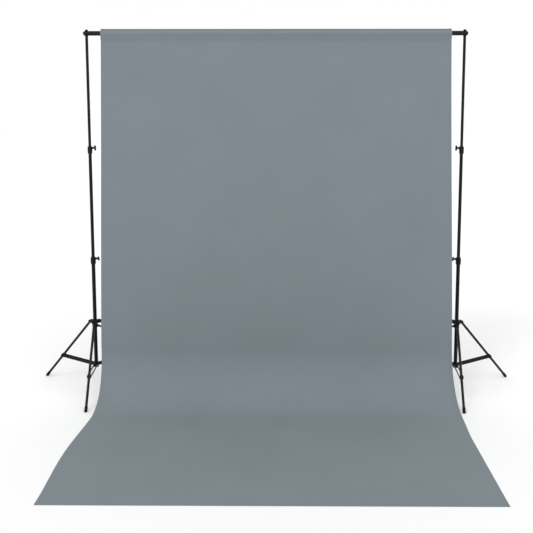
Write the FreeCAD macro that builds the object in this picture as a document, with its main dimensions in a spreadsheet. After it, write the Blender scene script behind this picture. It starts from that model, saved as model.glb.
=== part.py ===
import FreeCAD, Part
import os
from math import atan2, cos, degrees, hypot, radians, sin, tan
from Sketcher import Constraint

# A background support system: two telescopic stands with folding three-leg bases,
# a sectional crossbar between them and a cloth backdrop that hangs from the crossbar
# by a sewn rod pocket and sweeps forward over the floor.
#
# Frame: +X to the right seen from the front, +Y to the rear, +Z up, millimetres.
# The origin is on the floor, under the middle of the whole object.

Vector = FreeCAD.Vector
Rotation = FreeCAD.Rotation
Placement = FreeCAD.Placement

doc = FreeCAD.newDocument("background_support_system")
sheet = doc.addObject("Spreadsheet::Sheet", "sizes")

# Driving dimensions, in millimetres and degrees.
DRIVING = {
    # crossbar
    "bar_length": 3000,
    "bar_height": 2850,
    "bar_radius": 18,
    "bar_wall": 1.5,
    "bar_section": 750,
    "joiner_length": 200,
    "joiner_wall": 2,
    "section_gap": 0.5,
    # backdrop
    "cloth_width": 2740,
    "cloth_thickness": 1.5,
    "cloth_reach": 1800,
    "cloth_lean": 5,
    "sweep_radius": 420,
    "pocket_slack": 1,
    "header_height": 13,
    # poles
    "pole_spacing": 2944,
    "top_radius": 11,
    "mid_radius": 13,
    "base_radius": 15,
    "tube_wall": 1.2,
    "tube_overlap": 110,
    "upper_collar_height": 1941,
    "lower_collar_height": 1048,
    "collar_length": 58,
    "collar_shoulder": 31,
    "collar_wall": 5.5,
    "collar_taper": 2.5,
    "taper_length": 9,
    "collar_screw_height": 45,
    # spigot and thumb nut
    "spigot_plug": 30,
    "flange_radius": 13,
    "flange_height": 6,
    "stud_radius": 4.75,
    "stud_proud": 4,
    "nut_radius": 12,
    "nut_height": 8,
    "groove_radius": 1,
    "groove_out": 0.3,
    # glides
    "glide_plug": 18,
    "glide_rim": 10,
    "glide_bore": 6,
    # clamp screws and knobs
    "boss_radius": 9.5,
    "boss_reach": 8,
    "boss_root": 3,
    "screw_radius": 4,
    "screw_point": 0.5,
    "knob_neck": 7.5,
    "knob_neck_length": 8,
    "neck_root": 2,
    "knob_length": 43,
    "knob_width": 15,
    "knob_depth": 14,
    "knob_round": 4,
    "upper_knob_turn": 78,
    "lower_knob_turn": 52,
    "crown_knob_turn": 30,
    # crown and hub
    "crown_height": 542,
    "arm_root": 2,
    "crown_pivot_reach": 45,
    "crown_wall": 7,
    "crown_edge": 2,
    "crown_top": 15,
    "crown_bottom": 46,
    "crown_screw_drop": 31,
    "crown_arm_width": 31,
    "crown_arm_half": 12,
    "crown_slot_width": 21,
    "crown_slot_start": 30,
    "hub_height": 186,
    "hub_pivot_reach": 30,
    "hub_wall": 6,
    "hub_edge": 3,
    "hub_top": 18,
    "hub_bottom": 24,
    "hub_floor": 6,
    "hub_lug_width": 23,
    "hub_lug_half": 9,
    # legs, feet, braces and rivets
    "toe_in": 5.7,
    "foot_reach": 526,
    "leg_radius": 10,
    "leg_stub": 8,
    "foot_radius": 12,
    "foot_sleeve": 34,
    "foot_cover": 16,
    "sole_drop": 8,
    "brace_share": 0.625,
    "brace_half": 10,
    "brace_thickness": 2,
    "brace_gap": 25,
    "bracket_length": 32,
    "bracket_depth": 26,
    "bracket_width": 23,
    "bracket_round": 3,
    "rivet_radius": 3,
    "rivet_head_radius": 5.5,
    "rivet_head": 2.5,
    # small edges and clearances
    "edge": 1,
    "running_gap": 0.08,
    "fixed_gap": 0.05,
    "face_gap": 0.3,
}
KNURL_GROOVES = 24
LEGS = 3
STEP = 360 / LEGS
# How far a cutting tool stands out of the piece that it cuts.
SPARE = 1
# A block wide enough to cut a whole foot.
BLOCK = 60

for row, (alias, value) in enumerate(DRIVING.items(), start=1):
    sheet.set(f"A{row}", alias)
    sheet.set(f"B{row}", str(value))
    sheet.setAlias(f"B{row}", alias)
doc.recompute()


class Size:
    """A number together with the sheet expression that gives it."""

    def __init__(self, value, text):
        self.value = float(value)
        self.text = text

    def __add__(self, other):
        other = size(other)
        return Size(self.value + other.value, f"({self.text} + {other.text})")

    def __radd__(self, other):
        return size(other) + self

    def __sub__(self, other):
        other = size(other)
        return Size(self.value - other.value, f"({self.text} - {other.text})")

    def __rsub__(self, other):
        return size(other) - self

    def __mul__(self, other):
        other = size(other)
        return Size(self.value * other.value, f"({self.text} * {other.text})")

    def __truediv__(self, other):
        other = size(other)
        return Size(self.value / other.value, f"({self.text} / {other.text})")

    def __neg__(self):
        return Size(-self.value, f"(0 - {self.text})")


def size(quantity):
    """A Size from a Size, a cell's alias or a plain number."""
    if isinstance(quantity, Size):
        return quantity
    if isinstance(quantity, str):
        return Size(sheet.get(quantity), f"sizes.{quantity}")
    return Size(quantity, f"{quantity:.6f}")


# ---------------------------------------------------------------- drawing helpers

def bind(obj, prop, quantity):
    """Tie one property of an object to the sheet."""
    obj.setExpression(prop, size(quantity).text)


def at(obj, x=0, y=0, z=0, rotation=None):
    """Place an object, with its coordinates tied to the sheet."""
    spot = [size(x), size(y), size(z)]
    turn = rotation or Rotation()
    obj.Placement = Placement(Vector(*[q.value for q in spot]), turn)
    for letter, quantity in zip("xyz", spot):
        bind(obj, f"Placement.Base.{letter}", quantity)
    return obj


def primitive(kind, name, **sizes):
    """A Part primitive whose sizes are tied to the sheet."""
    obj = doc.addObject(f"Part::{kind}", name)
    for prop, quantity in sizes.items():
        bind(obj, prop, quantity)
    return obj


def cut(name, base, *tools):
    """The base with every tool taken away."""
    tool = tools[0] if len(tools) == 1 else fuse(f"{name}_tools", *tools)
    obj = doc.addObject("Part::Cut", name)
    obj.Base = base
    obj.Tool = tool
    return obj


def fuse(name, *shapes):
    """All the shapes joined into one."""
    obj = doc.addObject("Part::MultiFuse", name)
    obj.Shapes = list(shapes)
    obj.Refine = True
    return obj


def compound(name, *shapes):
    """Several solids that form one sub-part."""
    obj = doc.addObject("Part::Compound", name)
    obj.Links = list(shapes)
    return obj


def plane(body, role):
    """One of a body's own origin planes or axes."""
    return next(f for f in body.Origin.OriginFeatures if f.Role == role)


def new_sketch(body, name, role, offset=0):
    """A sketch on one of a body's origin planes, moved along its normal."""
    sketch = body.newObject("Sketcher::SketchObject", name)
    sketch.AttachmentSupport = [(plane(body, role), "")]
    sketch.MapMode = "FlatFace"
    sketch.AttachmentOffset = Placement(Vector(0, 0, size(offset).value), Rotation())
    bind(sketch, "AttachmentOffset.Base.z", offset)
    return sketch


def pin_point(sketch, geometry, point, x, y):
    """Fix a sketch point at (x, y), each coordinate tied to the sheet."""
    for kind, axis, quantity in (("DistanceX", -2, size(x)), ("DistanceY", -1, size(y))):
        if quantity.value == 0:
            sketch.addConstraint(Constraint("PointOnObject", geometry, point, axis))
            continue
        index = sketch.addConstraint(Constraint(kind, -1, 1, geometry, point, quantity.value))
        bind(sketch, f"Constraints[{index}]", quantity)


def draw_outline(sketch, corners):
    """A closed polygon through the corners."""
    points = [Vector(size(x).value, size(y).value, 0) for x, y in corners]
    count = len(points)
    for i, point in enumerate(points):
        sketch.addGeometry(Part.LineSegment(point, points[(i + 1) % count]))
    for i, (x, y) in enumerate(corners):
        sketch.addConstraint(Constraint("Coincident", i, 1, (i - 1) % count, 2))
        pin_point(sketch, i, 1, x, y)


def draw_circle(sketch, x, y, radius):
    """A circle tied to the sheet."""
    centre = Vector(size(x).value, size(y).value, 0)
    index = sketch.addGeometry(Part.Circle(centre, Vector(0, 0, 1), size(radius).value))
    pin_point(sketch, index, 3, x, y)
    constraint = sketch.addConstraint(Constraint("Radius", index, size(radius).value))
    bind(sketch, f"Constraints[{constraint}]", radius)


def draw_slot(sketch, start, end, half, round_start=True):
    """A bar along the sketch's x axis, round at its end and, if asked, at its start."""
    first, last, width = size(start), size(end), size(half)
    low = Part.LineSegment(Vector(first.value, -width.value, 0), Vector(last.value, -width.value, 0))
    top = Part.LineSegment(Vector(last.value, width.value, 0), Vector(first.value, width.value, 0))
    ring = Part.Circle(Vector(last.value, 0, 0), Vector(0, 0, 1), width.value)
    sketch.addGeometry(low)
    sketch.addGeometry(Part.ArcOfCircle(ring, radians(-90), radians(90)))
    sketch.addGeometry(top)
    pin_point(sketch, 1, 3, last, 0)
    sketch.addConstraint(Constraint("Tangent", 0, 2, 1, 1))
    sketch.addConstraint(Constraint("Tangent", 1, 2, 2, 1))
    sketch.addConstraint(Constraint("Horizontal", 0))
    index = sketch.addConstraint(Constraint("Radius", 1, width.value))
    bind(sketch, f"Constraints[{index}]", width)
    if round_start:
        back = Part.Circle(Vector(first.value, 0, 0), Vector(0, 0, 1), width.value)
        sketch.addGeometry(Part.ArcOfCircle(back, radians(90), radians(270)))
        pin_point(sketch, 3, 3, first, 0)
        sketch.addConstraint(Constraint("Tangent", 2, 2, 3, 1))
        sketch.addConstraint(Constraint("Tangent", 3, 2, 0, 1))
        return
    sketch.addGeometry(Part.LineSegment(top.EndPoint, low.StartPoint))
    sketch.addConstraint(Constraint("Coincident", 2, 2, 3, 1))
    sketch.addConstraint(Constraint("Coincident", 3, 2, 0, 1))
    pin_point(sketch, 3, 1, first, width)


def feature(body, kind, name, sketch, length=None, reverse=False, middle=False):
    """A pad or pocket of a sketch."""
    obj = body.newObject(f"PartDesign::{kind}", name)
    obj.Profile = sketch
    obj.Reversed = reverse
    if middle:
        obj.Midplane = True
    bind(obj, "Length", length)
    return obj


def revolve(body, name, corners):
    """Turn an outline in the body's XZ plane about its Z axis."""
    sketch = new_sketch(body, f"{name}_outline", "XZ_Plane")
    draw_outline(sketch, corners)
    obj = body.newObject("PartDesign::Revolution", name)
    obj.Profile = sketch
    obj.ReferenceAxis = (sketch, ["V_Axis"])
    obj.Angle = 360
    return obj


def repeat_around(body, name, features, count):
    """Repeat features in equal steps about the body's Z axis."""
    pattern = body.newObject("PartDesign::PolarPattern", name)
    pattern.Originals = features
    pattern.Axis = (plane(body, "Z_Axis"), [""])
    pattern.Angle = 360
    pattern.Occurrences = count
    body.Tip = pattern
    return pattern


def open_edges_at(shape, x):
    """Names of the edges in the plane at x, leaving out full circles."""
    names = []
    for k, edge in enumerate(shape.Edges, start=1):
        box = edge.BoundBox
        in_plane = abs(box.XMin - x) < 0.01 and abs(box.XMax - x) < 0.01
        if in_plane and not edge.isClosed():
            names.append(f"Edge{k}")
    return names


def screw_boss(body, name, sign, height, wall, reach):
    """A round boss along X with a plain hole for a clamp screw, from the wall outwards."""
    root = size(wall) - "boss_root"
    face = new_sketch(body, f"{name}_face", "YZ_Plane", size(sign) * root)
    draw_circle(face, 0, height, "boss_radius")
    feature(body, "Pad", f"{name}_pad", face, size(reach) - root, reverse=sign < 0)
    mouth = new_sketch(body, f"{name}_mouth", "YZ_Plane", size(sign) * reach)
    draw_circle(mouth, 0, height, size("screw_radius") + "running_gap")
    feature(body, "Pocket", f"{name}_hole", mouth, reach, reverse=sign < 0)


# ---------------------------------------------------------------- derived places

def number(alias):
    """A driving dimension as a plain number."""
    return size(alias).value


# Directions round a stand, in degrees: 0 is to the front, 90 outwards and 270 towards the other stand.
INWARD = 270
AZIMUTHS = {
    "front": -number("toe_in"),
    "outer": STEP - number("toe_in"),
    "rear": STEP * 2 - number("toe_in"),
}

# The poles stand where the rear feet reach as far back as the cloth reaches forward.
REAR_REACH = -cos(radians(AZIMUTHS["rear"])) * number("foot_reach") + number("foot_radius")
POLE_X = number("pole_spacing") / 2
POLE_Y = (number("cloth_reach") - REAR_REACH) / 2

# The leg runs from the crown's pivot to the middle of the foot.
LEG_RUN = number("foot_reach") - number("crown_pivot_reach")
LEG_DROP = number("crown_height") - number("sole_drop")
LEG_LENGTH = hypot(LEG_RUN, LEG_DROP)
LEG_SPREAD = degrees(atan2(LEG_RUN, LEG_DROP))

# The brace runs from the hub's pivot to a point on the leg.
JOINT_DISTANCE = LEG_LENGTH * number("brace_share")
JOINT_REACH = number("crown_pivot_reach") + LEG_RUN * number("brace_share")
JOINT_HEIGHT = number("crown_height") - LEG_DROP * number("brace_share")
BRACE_RUN = JOINT_REACH - number("hub_pivot_reach")
BRACE_RISE = JOINT_HEIGHT - number("hub_height")
BRACE_LENGTH = hypot(BRACE_RUN, BRACE_RISE)
BRACE_TILT = degrees(atan2(BRACE_RISE, BRACE_RUN))

BAR_FOOT = size("bar_height") - "bar_radius" - "running_gap"
TOP_TUBE_END = BAR_FOOT - "flange_height"
COLLAR_HALF = size("collar_length") / 2
TUBE_END_IN_COLLAR = size("collar_shoulder") - COLLAR_HALF


def heading(side, azimuth):
    """World angle about Z of a direction on a stand."""
    return -90 + side * azimuth


def standing(side, azimuth, tilt=0, roll=0):
    """Turn a piece about its own X axis, tilt it about Y, then turn its X axis to an azimuth."""
    turn = Rotation(Vector(0, 0, 1), heading(side, azimuth))
    lean = Rotation(Vector(0, 1, 0), tilt)
    return turn.multiply(lean).multiply(Rotation(Vector(1, 0, 0), roll))


def on_pole(obj, side, height, azimuth=0, tilt=0, roll=0, reach=0):
    """Place a piece on a stand, at a height and at a reach out along the azimuth."""
    angle = radians(heading(side, azimuth))
    x = size("pole_spacing") / 2 * side + reach * cos(angle)
    turn = standing(side, azimuth, tilt, roll)
    return at(obj, x, POLE_Y + reach * sin(angle), height, turn)


# ---------------------------------------------------------------- pieces of a pole

def make_tube(name, radius, length):
    """A plain tube that stands on z = 0."""
    outside = primitive("Cylinder", f"{name}_outside", Radius=radius, Height=length)
    bore = size(radius) - "tube_wall"
    inside = primitive("Cylinder", f"{name}_inside", Radius=bore, Height=size(length) + SPARE * 2)
    at(inside, z=-SPARE)
    return cut(name, outside, inside)


def make_spigot(name):
    """Plug, flange and stud of a pole's top, with z = 0 at the tube's end."""
    plug = size("top_radius") - "tube_wall" - "fixed_gap"
    tip = size("flange_height") + "running_gap" + size("bar_radius") * 2
    tip = tip + "running_gap" + "nut_height" + "stud_proud"
    body = doc.addObject("PartDesign::Body", name)
    revolve(body, f"{name}_turned", [
        (0, -size("spigot_plug")),
        (plug - "edge", -size("spigot_plug")),
        (plug, size("edge") - "spigot_plug"),
        (plug, 0),
        ("flange_radius", 0),
        ("flange_radius", size("flange_height") - "edge"),
        (size("flange_radius") - "edge", "flange_height"),
        ("stud_radius", "flange_height"),
        ("stud_radius", tip - "edge"),
        (size("stud_radius") - "edge", tip),
        (0, tip),
    ])
    return body


def make_thumb_nut(name):
    """A knurled round nut that stands on z = 0."""
    bore = size("stud_radius") + "running_gap"
    body = doc.addObject("PartDesign::Body", name)
    revolve(body, f"{name}_turned", [
        (bore, 0),
        (size("nut_radius") - "edge", 0),
        ("nut_radius", "edge"),
        ("nut_radius", size("nut_height") - "edge"),
        (size("nut_radius") - "edge", "nut_height"),
        (bore + "edge", "nut_height"),
        (bore, size("nut_height") - "edge"),
    ])
    knurl = new_sketch(body, f"{name}_knurl", "XY_Plane", "nut_height")
    draw_circle(knurl, size("nut_radius") + "groove_out", 0, "groove_radius")
    groove = feature(body, "Pocket", f"{name}_groove", knurl, size("nut_height") + SPARE)
    doc.recompute()
    repeat_around(body, f"{name}_grooves", [groove], KNURL_GROOVES)
    return body


def make_glide(name, inner, outer):
    """A bush plugged into the lower end of the inner tube, with its rim in the outer one."""
    plug = size(inner) - "tube_wall" - "fixed_gap"
    rim = size(outer) - "tube_wall" - "running_gap"
    body = doc.addObject("PartDesign::Body", name)
    revolve(body, f"{name}_turned", [
        ("glide_bore", -size("glide_rim")),
        (rim - "edge", -size("glide_rim")),
        (rim, size("edge") - "glide_rim"),
        (rim, 0),
        (plug, 0),
        (plug, size("glide_plug") - "edge"),
        (plug - "edge", "glide_plug"),
        ("glide_bore", "glide_plug"),
    ])
    return body


def make_collar(name, inner, outer):
    """A locking collar on the outer tube's end, its middle at z = 0."""
    grip = size(outer) + "fixed_gap"
    guide = size(inner) + "running_gap"
    wall = size(outer) + "collar_wall"
    waist = wall - "collar_taper"
    low, high = -COLLAR_HALF, COLLAR_HALF
    body = doc.addObject("PartDesign::Body", name)
    revolve(body, f"{name}_turned", [
        (grip, low),
        (waist, low),
        (wall, low + "taper_length"),
        (wall, high - "taper_length"),
        (waist, high),
        (guide, high),
        (guide, TUBE_END_IN_COLLAR),
        (grip, TUBE_END_IN_COLLAR),
    ])
    doc.recompute()
    screw_height = size("collar_screw_height") - COLLAR_HALF
    screw_boss(body, name, 1, screw_height, wall, wall + "boss_reach")
    return body


def make_knob(name, pole_radius, boss_end):
    """A clamp screw with a T-shaped head along X, its tip just off the pole's tube."""
    tip = size(pole_radius) + "face_gap"
    neck = size(boss_end) + "face_gap"
    head = neck + "knob_neck_length"
    body = doc.addObject("PartDesign::Body", name)
    sketch = new_sketch(body, f"{name}_outline", "XY_Plane")
    draw_outline(sketch, [
        (tip, 0),
        (tip, size("screw_radius") - "screw_point"),
        (tip + "screw_point", "screw_radius"),
        (neck, "screw_radius"),
        (neck, "knob_neck"),
        (head + "neck_root", size("knob_neck") - "edge"),
        (head + "neck_root", 0),
    ])
    shaft = body.newObject("PartDesign::Revolution", f"{name}_shaft")
    shaft.Profile = sketch
    shaft.ReferenceAxis = (sketch, ["H_Axis"])
    shaft.Angle = 360
    reach = (size("knob_length") - "knob_width") / 2
    face = new_sketch(body, f"{name}_face", "YZ_Plane", head)
    draw_slot(face, -reach, reach, size("knob_width") / 2)
    grip = feature(body, "Pad", f"{name}_grip", face, "knob_depth")
    doc.recompute()
    rounded = body.newObject("PartDesign::Fillet", f"{name}_rounded")
    back = head + "knob_depth"
    rims = open_edges_at(grip.Shape, back.value) + open_edges_at(grip.Shape, head.value)
    rounded.Base = (grip, rims)
    bind(rounded, "Radius", "knob_round")
    return body


# ---------------------------------------------------------------- pieces of a folding base

def add_arms(body, name, start, reach, half, width):
    """Three round-ended arms, flat across their own Y axis."""
    outline = new_sketch(body, f"{name}_arm_outline", "XZ_Plane")
    draw_slot(outline, start, reach, half, round_start=False)
    return feature(body, "Pad", f"{name}_arm", outline, width, middle=True)


def add_pivot_holes(body, name, reach, radius, width):
    """A hole for a rivet through an arm."""
    outline = new_sketch(body, f"{name}_rivet_outline", "XZ_Plane")
    draw_circle(outline, reach, 0, radius)
    return feature(body, "Pocket", f"{name}_rivet_hole", outline, width, middle=True)


def make_crown(name):
    """The sliding casting that carries the legs, its pivots in the plane z = 0."""
    bore = size("base_radius") + "running_gap"
    wall = size("base_radius") + "crown_wall"
    low = -size("crown_bottom")
    body = doc.addObject("PartDesign::Body", name)
    revolve(body, f"{name}_turned", [
        (bore, low),
        (wall - "crown_edge", low),
        (wall, low + "crown_edge"),
        (wall, size("crown_top") - "crown_edge"),
        (wall - "crown_edge", "crown_top"),
        (bore, "crown_top"),
    ])
    doc.recompute()
    arm_start = size("base_radius") + "arm_root"
    width = size("crown_arm_width")
    arm = add_arms(body, name, arm_start, "crown_pivot_reach", "crown_arm_half", width)
    tall = size("crown_arm_half") + SPARE
    outline = new_sketch(body, f"{name}_slot_outline", "XY_Plane", -tall)
    start, half = size("crown_slot_start"), size("crown_slot_width") / 2
    end = size("crown_pivot_reach") + tall
    draw_outline(outline, [(start, -half), (end, -half), (end, half), (start, half)])
    slot = feature(body, "Pocket", f"{name}_slot", outline, tall * 2, reverse=True)
    hole_radius = size("rivet_radius") + "fixed_gap"
    hole = add_pivot_holes(body, name, "crown_pivot_reach", hole_radius, width + SPARE * 2)
    doc.recompute()
    repeat_around(body, f"{name}_arms", [arm, slot, hole], LEGS)
    doc.recompute()
    screw_boss(body, name, -1, -size("crown_screw_drop"), wall, wall + "boss_reach")
    return body


def make_hub(name):
    """The fixed casting at the base tube's foot, its pivots in the plane z = 0."""
    bore = size("base_radius") + "fixed_gap"
    wall = size("base_radius") + "hub_wall"
    low = -size("hub_bottom")
    body = doc.addObject("PartDesign::Body", name)
    revolve(body, f"{name}_turned", [
        (0, low),
        (wall - "hub_edge", low),
        (wall, low + "hub_edge"),
        (wall, size("hub_top") - "crown_edge"),
        (wall - "crown_edge", "hub_top"),
        (bore, "hub_top"),
        (bore, low + "hub_floor"),
        (0, low + "hub_floor"),
    ])
    doc.recompute()
    width = size("hub_lug_width")
    arm_start = size("base_radius") + "arm_root"
    arm = add_arms(body, name, arm_start, "hub_pivot_reach", "hub_lug_half", width)
    hole_radius = size("rivet_radius") + "fixed_gap"
    hole = add_pivot_holes(body, name, "hub_pivot_reach", hole_radius, width + SPARE * 2)
    doc.recompute()
    repeat_around(body, f"{name}_arms", [arm, hole], LEGS)
    return body


def make_rivets(name, reach, span):
    """Three headed pins across the arms of a casting, in the plane z = 0."""
    rivets = []
    across = Rotation(Vector(1, 0, 0), 90)
    length = size(span) + size("rivet_head") * 2
    for k in range(LEGS):
        pin = primitive("Cylinder", f"{name}_pin_{k}", Radius="rivet_radius", Height=length)
        head = primitive("Cylinder", f"{name}_head_{k}", Radius="rivet_head_radius", Height="rivet_head")
        tail = primitive("Cylinder", f"{name}_tail_{k}", Radius="rivet_head_radius", Height="rivet_head")
        at(pin, y=length / 2, rotation=across)
        at(head, y=length / 2, rotation=across)
        at(tail, y=size("rivet_head") - length / 2, rotation=across)
        rivet = fuse(f"{name}_{k}", pin, head, tail)
        turn = radians(STEP * k)
        x = size(reach) * cos(turn)
        y = size(reach) * sin(turn)
        at(rivet, x, y, 0, Rotation(Vector(0, 0, 1), STEP * k))
        rivets.append(rivet)
    return compound(name, *rivets)


def make_leg(name):
    """A leg tube that hangs down -Z from its pivot at the origin."""
    length = LEG_LENGTH + size("leg_stub") - "foot_cover"
    outside = primitive("Cylinder", f"{name}_outside", Radius="leg_radius", Height=length)
    at(outside, z=size("foot_cover") - LEG_LENGTH)
    bore = size("leg_radius") - "tube_wall"
    inside = primitive("Cylinder", f"{name}_inside", Radius=bore, Height=length + SPARE * 2)
    at(inside, z=size("foot_cover") - LEG_LENGTH - SPARE)
    eye = size("rivet_radius") + "running_gap"
    wide = size("leg_radius") + SPARE
    hole = primitive("Cylinder", f"{name}_eye", Radius=eye, Height=wide * 2)
    at(hole, y=wide, rotation=Rotation(Vector(1, 0, 0), 90))
    return cut(name, outside, inside, hole)


def make_foot(name):
    """A rubber cap on the leg's end, in the leg's own frame, cut flat where it meets the floor."""
    sleeve = primitive("Cylinder", f"{name}_sleeve", Radius="foot_radius", Height="foot_sleeve")
    at(sleeve, z=-LEG_LENGTH)
    ball = primitive("Sphere", f"{name}_ball", Radius="foot_radius")
    at(ball, z=-LEG_LENGTH)
    cap = fuse(f"{name}_cap", sleeve, ball)
    bore = size("leg_radius") + "fixed_gap"
    socket = primitive("Cylinder", f"{name}_socket", Radius=bore, Height="foot_sleeve")
    at(socket, z=size("foot_cover") - LEG_LENGTH)
    # The floor, seen from the spread leg: a block whose top face lies sole_drop below the ball.
    block = primitive("Box", f"{name}_floor", Length=BLOCK, Width=BLOCK, Height=BLOCK)
    tilt = Rotation(Vector(0, 1, 0), LEG_SPREAD)
    corner = tilt.multVec(Vector(-BLOCK / 2, -BLOCK / 2, -BLOCK - number("sole_drop")))
    at(block, corner.x, corner.y, corner.z - LEG_LENGTH, tilt)
    return cut(name, cap, socket, block)


def make_bracket(name):
    """The clamp on a leg that the brace straddles, in the leg's own frame."""
    depth, width = size("bracket_depth"), size("bracket_width")
    length = size("bracket_length")
    block = primitive("Box", f"{name}_block", Length=depth, Width=width, Height=length)
    at(block, depth / -2, width / -2, -length / 2 - JOINT_DISTANCE)
    doc.recompute()
    rounded = doc.addObject("Part::Fillet", f"{name}_rounded")
    rounded.Base = block
    edges = enumerate(block.Shape.Edges, start=1)
    across = [k for k, edge in edges if edge.BoundBox.XLength < 0.01]
    radius = number("bracket_round")
    rounded.Edges = [(k, radius, radius) for k in across]
    bore = size("leg_radius") + "fixed_gap"
    hole = primitive("Cylinder", f"{name}_bore", Radius=bore, Height=length + SPARE * 2)
    at(hole, z=-length / 2 - JOINT_DISTANCE - SPARE)
    return cut(name, rounded, hole)


def make_brace(name):
    """Two flat strips along X from the hub's pivot at the origin, with a rivet head at the far end."""
    strips = []
    outer = size("brace_gap") / 2 + "brace_thickness"
    for hand, sign in (("front", 1), ("rear", -1)):
        strip = doc.addObject("PartDesign::Body", f"{name}_{hand}")
        face = size(sign) * (size("brace_gap") / -2)
        outline = new_sketch(strip, f"{name}_{hand}_outline", "XZ_Plane", face)
        draw_slot(outline, 0, BRACE_LENGTH, "brace_half")
        feature(strip, "Pad", f"{name}_{hand}_bar", outline, "brace_thickness", reverse=sign > 0)
        eye = new_sketch(strip, f"{name}_{hand}_eye_outline", "XZ_Plane")
        draw_circle(eye, 0, 0, size("rivet_radius") + "running_gap")
        feature(strip, "Pocket", f"{name}_{hand}_eye", eye, (outer + SPARE) * 2, middle=True)
        end = new_sketch(strip, f"{name}_{hand}_end_outline", "XZ_Plane", outer * -sign)
        draw_circle(end, BRACE_LENGTH, 0, "rivet_head_radius")
        feature(strip, "Pad", f"{name}_{hand}_head", end, "rivet_head", reverse=sign > 0)
        strips.append(strip)
    return compound(name, *strips)


# ---------------------------------------------------------------- the crossbar and the backdrop

def make_bar_tube(name, start, end, radius, wall):
    """A length of tube along X."""
    lying = Rotation(Vector(0, 1, 0), 90)
    length = size(end) - start
    outside = primitive("Cylinder", f"{name}_outside", Radius=radius, Height=length)
    at(outside, x=start, rotation=lying)
    bore = size(radius) - wall
    inside = primitive("Cylinder", f"{name}_inside", Radius=bore, Height=length + SPARE * 2)
    at(inside, x=size(start) - SPARE, rotation=lying)
    return outside, inside


def mirror_x(name, source):
    """The same piece on the other side of the plane x = 0."""
    obj = doc.addObject("Part::Mirroring", name)
    obj.Source = source
    obj.Normal = Vector(1, 0, 0)
    obj.Base = Vector(0, 0, 0)
    return obj


def make_bar_ends(name):
    """The two outer sections, closed by a dome and drilled for the stands' studs."""
    start = size("bar_section") + size("section_gap") / 2
    dome_centre = size("bar_length") / 2 - "bar_radius"
    outside, inside = make_bar_tube(f"{name}_tube", start, dome_centre, "bar_radius", "bar_wall")
    dome = primitive("Sphere", f"{name}_dome", Radius="bar_radius")
    at(dome, x=dome_centre)
    bind(inside, "Height", dome_centre - start)
    eye = size("stud_radius") + "running_gap"
    tall = size("bar_radius") + SPARE
    hole = primitive("Cylinder", f"{name}_eye", Radius=eye, Height=tall * 2)
    at(hole, x=size("pole_spacing") / 2, z=-tall)
    right = cut(f"{name}_right", fuse(f"{name}_closed", outside, dome), inside, hole)
    return compound(name, right, mirror_x(f"{name}_left", right))


def make_bar_middles(name):
    """The two inner sections."""
    gap = size("section_gap") / 2
    outside, inside = make_bar_tube(
        f"{name}_tube", gap, size("bar_section") - gap, "bar_radius", "bar_wall")
    right = cut(f"{name}_right", outside, inside)
    return compound(name, right, mirror_x(f"{name}_left", right))


def make_bar_joiners(name):
    """The three inner sleeves that join the sections."""
    sleeves = []
    half = size("joiner_length") / 2
    radius = size("bar_radius") - "bar_wall" - "fixed_gap"
    for k in (-1, 0, 1):
        middle = size("bar_section") * k
        outside, inside = make_bar_tube(
            f"{name}_{k + 1}", middle - half, middle + half, radius, "joiner_wall")
        sleeves.append(cut(f"{name}_{k + 1}", outside, inside))
    return compound(name, *sleeves)


def make_backdrop(name):
    """The cloth: a narrow header, the rod pocket, the leaning drop, the sweep and the part on the floor."""
    thick = size("cloth_thickness")
    width = size("cloth_width")
    edge = -width / 2
    lying = Rotation(Vector(0, 1, 0), 90)
    pocket_bore = size("bar_radius") + "pocket_slack"
    header = primitive(
        "Box", f"{name}_header", Length=width, Width=thick * 2, Height=size("header_height") + thick)
    at(header, edge, -thick, size("bar_height") + pocket_bore)
    loop = primitive("Cylinder", f"{name}_loop", Radius=pocket_bore + thick, Height=width)
    at(loop, edge, 0, "bar_height", lying)

    # Seen from the side, the drop's middle line starts at the bar and ends where it meets the sweep.
    lean = radians(number("cloth_lean"))
    middle = size("sweep_radius") + thick / 2
    end_z = middle.value - number("sweep_radius") * sin(lean)
    end_y = -(number("bar_height") - end_z) * tan(lean)
    drop_length = (number("bar_height") - end_z) / cos(lean) - pocket_bore.value
    drop = primitive("Box", f"{name}_drop", Length=width, Width=thick, Height=drop_length)
    corner_y = end_y - thick.value / 2 * cos(lean)
    corner_z = end_z + thick.value / 2 * sin(lean)
    at(drop, edge, corner_y, corner_z, Rotation(Vector(1, 0, 0), -number("cloth_lean")))

    # The sweep is a part of a tube about an axis in front of the drop.
    turn = 90 - size("cloth_lean")
    axis_y = end_y - number("sweep_radius") * cos(lean)
    bend = primitive("Cylinder", f"{name}_bend", Radius=middle, Height=width, Angle=turn)
    hollow = primitive(
        "Cylinder", f"{name}_hollow", Radius=middle - thick, Height=width + SPARE * 2, Angle=90)
    at(bend, edge, axis_y, middle, lying)
    at(hollow, edge - SPARE, axis_y, middle, lying)
    sweep = cut(f"{name}_sweep", bend, hollow)
    run = size("cloth_reach") + axis_y
    floor = primitive("Box", f"{name}_floor", Length=width, Width=run, Height=thick)
    at(floor, edge, -size("cloth_reach"), 0)
    bore = primitive("Cylinder", f"{name}_bore", Radius=pocket_bore, Height=width + SPARE * 2)
    at(bore, edge - SPARE, 0, "bar_height", lying)
    return cut(name, fuse(f"{name}_sewn", header, loop, drop, sweep, floor), bore)


# ---------------------------------------------------------------- assembly

nodes = []


def keep(obj, label):
    """Name a finished sub-part and put it on the list of nodes."""
    obj.Label = label
    nodes.append(obj)
    return obj


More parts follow.
